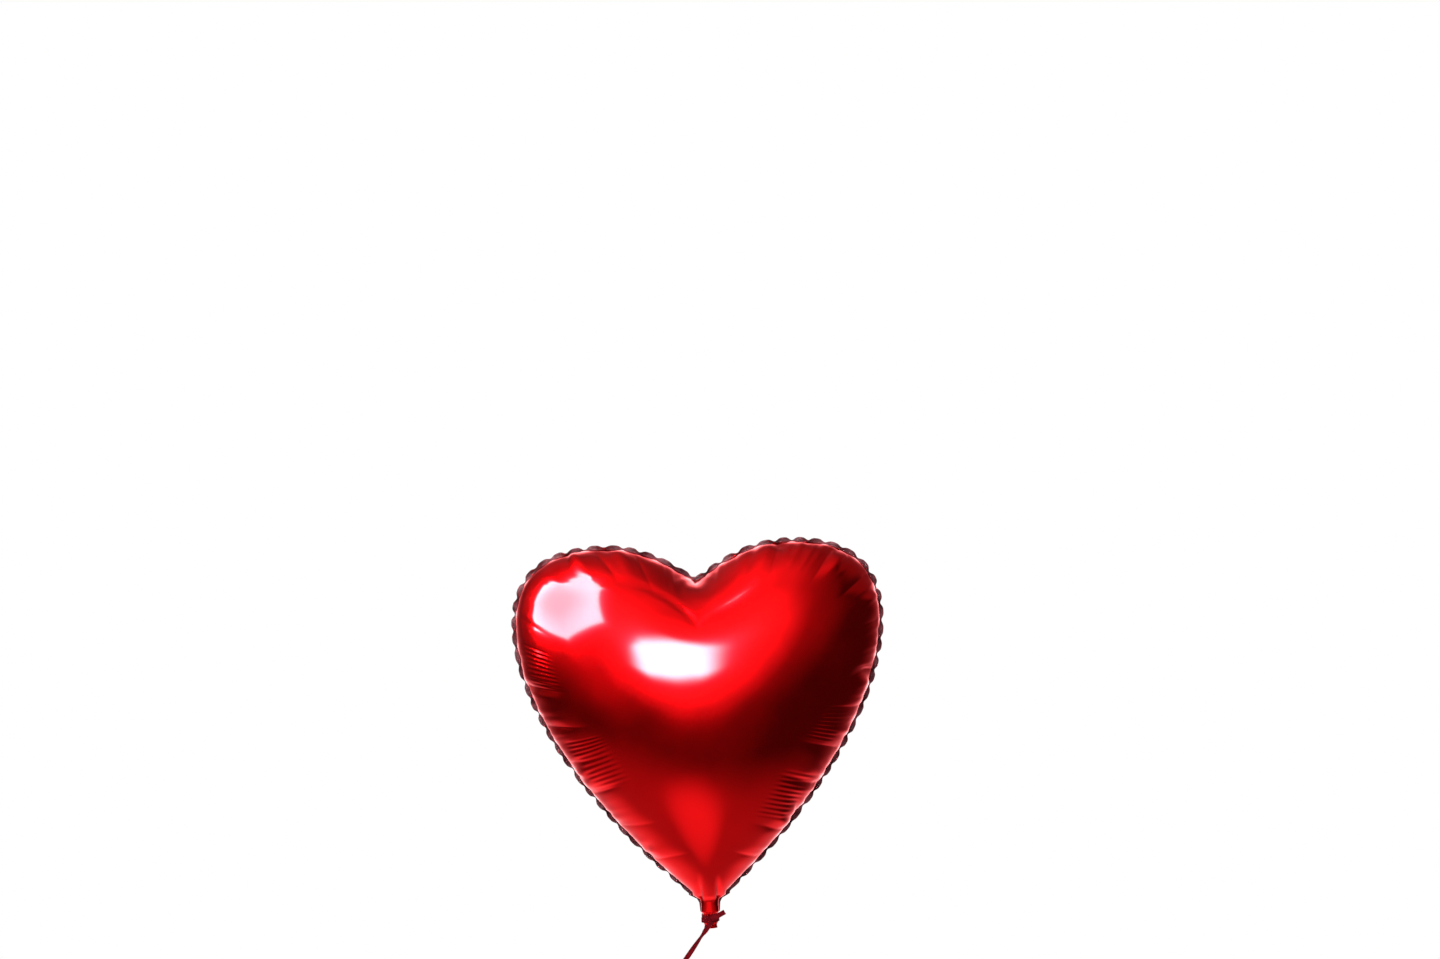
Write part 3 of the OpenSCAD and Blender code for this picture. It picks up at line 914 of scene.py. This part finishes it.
def makePanel(name, face, filled, skin, sealed):
    both = panelGrid(face, filled)
    full = np.concatenate([both, weldRim(both)], axis=1) * mm
    columns, count = full.shape[:2]
    # distance from the weld for the painted highlight beside it; on the neck and where the rim faces up it is
    # set far off, so that no painted highlight shows there
    glintFromRim = np.full((columns, count), film["noGlintFrom"])
    glintFromRim[heartSpan, :len(rings)] = mm * filmIn
    upward = np.concatenate([rimOut[:0:-1, 1:], rimOut[:, 1:]])
    topStart, topEase = film["top"]
    glintFromRim[heartSpan] += film["noGlintFrom"] * smoothStep((upward - topStart) / topEase)
    faces = [quad if face == 1 else quad[::-1] for quad in gridQuads(columns, count)]
    mesh = bpy.data.meshes.new(name)
    mesh.from_pydata(full.reshape(-1, 3).tolist(), [], faces)
    isWeld = np.tile(np.arange(count - 1) >= len(rings) - 1, columns - 1)
    mesh.materials.append(skin)
    mesh.materials.append(sealed)
    mesh.polygons.foreach_set("material_index", isWeld.astype(np.int32))
    setValues(mesh, "glintFromRim", glintFromRim.ravel())
    mergeDoubles(mesh, outward=False)
    piece = linkObject(name, mesh)
    wall = piece.modifiers.new("filmThickness", "SOLIDIFY")
    wall.thickness, wall.offset = film["thick"], 1.0
    print(name, len(mesh.polygons), "faces")
    return piece


def metallisedFilm():
    # polyester film with aluminium on it under red lacquer: a coloured mirror, white only at its brightest
    look = {"red": "#f80409", "deep": "#ee0207", "paintedGlint": "#ffb4bc", "edge": "#ffd0d4", "scuffMm": 60,
            "grainMm": 2.5, "paintedGlintMm": (1, 6)}
    material, tree, shader = newMaterial("metallisedFilm")
    place = objectPlace(tree)
    cloud = noise(tree, place, 1000 / look["scuffMm"], 4.0)
    tint = colourRamp(tree, cloud, (0.35, look["deep"]), (0.65, look["red"]))
    # beside the weld a pale pink painted highlight, standing in for the white backdrop's reflection along the
    # edge, is mixed into the colour
    glintFromRim = attributeValue(tree, "glintFromRim")
    paintedGlint = remap(tree, glintFromRim, [mm * k for k in look["paintedGlintMm"]], (0.85, 0.0), "SMOOTHSTEP")
    glintedTint = shade(tree, "Mix", 2, {"Factor": paintedGlint, 6: tint, 7: hexColour(look["paintedGlint"])}, data_type="RGBA")
    grain = noise(tree, place, 1000 / look["grainMm"], 2.0)
    bump = shade(tree, "Bump", "Normal", {"Height": grain, "Strength": 0.12, "Distance": 0.05 * mm})
    setInputs(tree, shader, {
        "Base Color": glintedTint,
        "Roughness": remap(tree, cloud, (0.3, 0.7), (0.12, 0.17)),
        "Normal": bump,
        "Metallic": 1.0,
        "Specular Tint": hexColour(look["edge"]),
        "Coat Weight": 0.12,
        "Coat Roughness": 0.08,
    })
    return material


def heatSealedFilm():
    # the same film where the hot jaws pressed both panels together: dull, greyish red, uneven
    look = {"dark": "#55262c", "pale": "#87494f", "patchMm": 8}
    material, tree, shader = newMaterial("heatSealedFilm")
    patch = noise(tree, objectPlace(tree), 1000 / look["patchMm"], 2.0)
    setInputs(tree, shader, {
        "Base Color": colourRamp(tree, patch, (0.35, look["dark"]), (0.65, look["pale"])),
        "Roughness": remap(tree, patch, (0.0, 1.0), (0.45, 0.65)),
        "Specular IOR Level": 0.015,
    })
    return material


def polyethyleneFilm():
    # blown clear film of the valve: see-through, faintly milky, with streaks along the way it was drawn
    look = {"milky": "#dfe6ea", "clear": "#f6fafb", "streaks": (900.0, 900.0, 40.0)}
    material, tree, shader = newMaterial("polyethyleneFilm")
    drawn = shade(tree, "Mapping", "Vector", {"Vector": objectPlace(tree), "Scale": look["streaks"]})
    streak = noise(tree, drawn, 1.0, 3.0)
    setInputs(tree, shader, {
        "Base Color": colourRamp(tree, streak, (0.0, look["milky"]), (1.0, look["clear"])),
        "Roughness": remap(tree, streak, (0.0, 1.0), (0.15, 0.35)),
        "IOR": 1.5,
        "Transmission Weight": 0.85,
    })
    return material


foilLook = metallisedFilm()
sealLook = heatSealedFilm()
clearLook = polyethyleneFilm()
plainForm = plainHeart()
# distance from the seam along the film
filmIn = np.linalg.norm(np.diff(plainForm[heartSpan], axis=1), axis=2)
filmIn = np.concatenate([np.cumsum(filmIn[:, ::-1], axis=1)[:, ::-1], np.zeros((len(filmIn), 1))], axis=1)
filledFilm = settleFilm(readFilled())
frontPanel = makePanel("frontPanel", 0, filledFilm, foilLook, sealLook)
rearPanel = makePanel("rearPanel", 1, filledFilm, foilLook, sealLook)
for piece, node in ((frontPanel, "front_panel"), (rearPanel, "rear_panel")):
    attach(piece, "envelope")
    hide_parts(node)
for node in ("valve_film_front", "valve_film_rear"):
    valve = bpy.data.objects[node]
    valve.data.materials.clear()
    valve.data.materials.append(clearLook)
print("panels made")


# stage: pale floor that fades out, white behind, and for the foil's mirror a dark tent with soft glows,
# a softbox and a window
studio = {
    "floor": -0.75,
    "floorFade": (1.2, 3.0),
    "lights": [
        ("frontLight", (-0.5, -2.6, 1.6), (0, 0, 0.2), (1.2, 0.9), 45),
        ("overhead", (0.0, -0.2, 2.6), (0, 0, 0), (2.0, 2.0), 30),
    ],
    "worldLevels": (0.5, 1.0),  # as light, as seen
    "tentRadius": 3.4,
    "tentMiddle": (0, 0, 0.22),
    "dark": 0.05,
    "back": (0.2, 1.0, 0.24),
    "backTop": (0.14, 0.31, 0.06),
    # azimuth, elevation, full within, none beyond, strength
    "glows": [(-4, 24, 2, 41, 0.95), (-33, 64, 2, 41, 0.37), (-59, 53, 40, 75, 0.25), (-95, 9, 21, 29, 0.1),
              (-152, -56, 11, 42, 0.55), (170, -50, 7, 41, 0.49), (-99, -84, 38, 64, 0.35),
              (-12, -56, 2, 23, 0.48), (-48, 13, 2, 16, 0.1), (24, 31, 16, 49, 0.15), (-9, -22, 16, 46, 0.06),
              (151, 53, 40, 59, 0.14), (180, 0, 12, 50, 0.6), (180, 2, 12, 38, 1.9)],
    # soft edge share, dimmer in the middle by, strength, lower and upper edge from the left
    "cards": [
        ("softboxFace", 0.5, 0.0, 200.0, [(-26, 12), (-17, 6), (-8, 5), (1, 7), (10, 15)],
         [(-22, 22), (-13, 37), (-4, 45), (8, 31)]),
        ("windowFace", 0.06, 0.45, 140.0, [(-90, 7), (-53, 11), (-26, 35)],
         [(-94, 42), (-66, 60), (-28, 72)]),
    ],
    "cardInside": 0.3,
    "cardPoints": 33,
    "dimSpot": (1.2, 0.1),  # reach, off to the left
}


def heading(azimuth, elevation):
    a, e = math.radians(azimuth), math.radians(elevation)
    return Vector((math.sin(a) * math.cos(e), -math.cos(a) * math.cos(e), math.sin(e)))


def onlyInReflections(obj):
    # the tent and faces show in the foil's mirror, and light nothing themselves
    obj.visible_camera = obj.visible_diffuse = obj.visible_shadow = obj.visible_transmission = False


def seenInFoil(tree, strength):
    # only what the foil shows to the camera, not what it throws on to dull surfaces
    ray = addNode(tree, "ShaderNodeLightPath")
    shown = remap(tree, ray.outputs["Diffuse Depth"], (0.0, 1.0), (1.0, 0.0))
    return shade(tree, "Emission", 0, {"Strength": calc(tree, "MULTIPLY", shown, strength)})


def bareMaterial(name):
    material, tree, shader = newMaterial(name)
    tree.nodes.remove(shader)
    return material, tree, tree.nodes["Material Output"]


def stageObject(name, place, shape, **settings):
    work = bmesh.new()
    shape(work, **settings)
    mesh = bpy.data.meshes.new(name)
    work.to_mesh(mesh)
    work.free()
    mesh.transform(Matrix.Translation(place))
    return linkObject(name, mesh)


def makeTent(s):
    tent = stageObject("tent", s["tentMiddle"], bmesh.ops.create_uvsphere, u_segments=48, v_segments=24,
                       radius=s["tentRadius"])
    material, tree, output = bareMaterial("tentCloth")
    off = {0: objectPlace(tree), 1: s["tentMiddle"]}
    way = shade(tree, "VectorMath", "Vector", off, operation="SUBTRACT")
    way = shade(tree, "VectorMath", "Vector", {0: way}, operation="NORMALIZE")
    parts = addNode(tree, "ShaderNodeSeparateXYZ", {"Vector": way})
    near, far, level = s["back"]
    low, high, left = s["backTop"]
    back = remap(tree, parts.outputs["Y"], (near, far), (0.0, level), "SMOOTHSTEP")
    below = remap(tree, parts.outputs["Z"], (low, high), (1.0, left), "SMOOTHSTEP")
    total = calc(tree, "ADD", calc(tree, "MULTIPLY", back, below), s["dark"])
    for azimuth, elevation, full, none, strength in s["glows"]:
        toward = {0: way, 1: heading(azimuth, elevation)}
        dot = shade(tree, "VectorMath", "Value", toward, operation="DOT_PRODUCT")
        ends = [math.cos(math.radians(angle)) for angle in (none, full)]
        total = calc(tree, "ADD", total, remap(tree, dot, ends, (0.0, strength), "SMOOTHSTEP"))
    setInputs(tree, output, {"Surface": seenInFoil(tree, total)})
    tent.data.materials.append(material)
    onlyInReflections(tent)


def makeCards(s):
    shiny = bpy.data.collections.new("foilPanels")
    for panel in (frontPanel, rearPanel):
        shiny.objects.link(panel)
    away, n = s["tentRadius"] - s["cardInside"], s["cardPoints"]
    steps = np.linspace(0, 1, n)
    spots = [(x, y) for y in steps * 2 - 1 for x in steps * 2 - 1]
    reach, aside = s["dimSpot"]
    for name, soft, dim, strength, *edges in s["cards"]:
        lower, upper = (
            np.stack([np.interp(steps, np.linspace(0, 1, len(edge)), c) for c in np.array(edge).T], 1)
            for edge in edges)
        ways = [heading(*way) for y in steps for way in lower + (upper - lower) * y]
        mesh = bpy.data.meshes.new(name)
        mesh.from_pydata([Vector(s["tentMiddle"]) + way * away for way in ways], [], gridQuads(n, n))
        edge = [smoothStep((1 - abs(x)) / soft) * smoothStep((1 - abs(y)) / soft) for x, y in spots]
        setValues(mesh, "lit", edge)
        setValues(mesh, "full", [1 - dim * smoothStep(reach - math.hypot(x + aside, y)) for x, y in spots])
        card = linkObject(name, mesh)
        material, tree, output = bareMaterial(name)
        lit = attributeValue(tree, "lit")
        level = calc(tree, "MULTIPLY", attributeValue(tree, "full"), lit)
        light = seenInFoil(tree, calc(tree, "MULTIPLY", level, strength))
        clear = shade(tree, "BsdfTransparent", 0)
        setInputs(tree, output, {"Surface": shade(tree, "MixShader", 0, {"Fac": lit, 1: clear, 2: light})})
        mesh.materials.append(material)
        onlyInReflections(card)
        card.light_linking.receiver_collection = shiny


def makeStage(s):
    near, far = s["floorFade"]
    floor = stageObject("floor", (0, 0, s["floor"]), bmesh.ops.create_circle, cap_ends=True, segments=96,
                        radius=far)
    material, tree, shader = newMaterial("paintedFloor")
    flat = shade(tree, "Mapping", "Vector", {"Vector": objectPlace(tree), "Scale": (1.0, 1.0, 0.0)})
    reach = shade(tree, "VectorMath", "Value", {0: flat}, operation="LENGTH")
    setInputs(tree, shader, {
        "Alpha": remap(tree, reach, (near, far), (1.0, 0.0)),
        "Base Color": hexColour("#e9e8e6"),
        "Roughness": 0.9,
    })
    floor.data.materials.append(material)
    floor.visible_glossy = False
    for name, at, aim, size, power in s["lights"]:
        data = bpy.data.lights.new(name, "AREA")
        data.shape, data.size, data.size_y, data.energy = "RECTANGLE", size[0], size[1], power
        lamp = linkObject(name, data)
        lamp.location = at
        lamp.rotation_euler = (Vector(aim) - Vector(at)).to_track_quat("-Z", "Y").to_euler()
        lamp.visible_camera = lamp.visible_glossy = False
    world = bpy.data.worlds.new("whiteStudio")
    scene.world = world
    world.use_nodes = True
    tree = world.node_tree
    ray = addNode(tree, "ShaderNodeLightPath")
    seen = calc(tree, "MAXIMUM", ray.outputs["Is Camera Ray"], ray.outputs["Is Glossy Ray"])
    seen = calc(tree, "MAXIMUM", seen, ray.outputs["Is Transmission Ray"])
    level = remap(tree, seen, (0.0, 1.0), s["worldLevels"])
    setInputs(tree, tree.nodes["Background"], {"Color": (1, 1, 1, 1), "Strength": level})


makeStage(studio)
makeTent(studio)
makeCards(studio)
